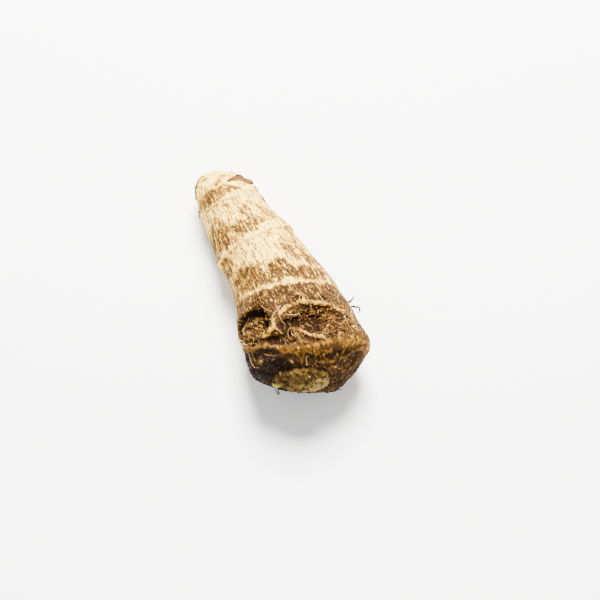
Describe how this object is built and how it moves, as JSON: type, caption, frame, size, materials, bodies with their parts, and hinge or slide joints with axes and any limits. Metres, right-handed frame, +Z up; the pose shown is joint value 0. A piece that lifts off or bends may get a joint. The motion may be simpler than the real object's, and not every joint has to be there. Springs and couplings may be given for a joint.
{
  "type": "taro root",
  "caption": "Whole raw taro corm with broken side-shoot scars and a bud on its thick end, lying on its side; food to be peeled and cooked.",
  "frame": {"origin": "centre of the bounding box, at its lowest level, on the surface that the corm rests on", "axes": "+Y along the corm from its thick end to its thin end, +Z up, +X to the right as seen from the thick end"},
  "size_m": [0.0542, 0.1218, 0.0474],
  "materials": {
    "corm_skin": "rough fibrous brown and cream bark, slightly waxy where it is pale"
  },
  "bodies": {
    "root": {"corm": "corm_skin"}
  },
  "joints": []
}
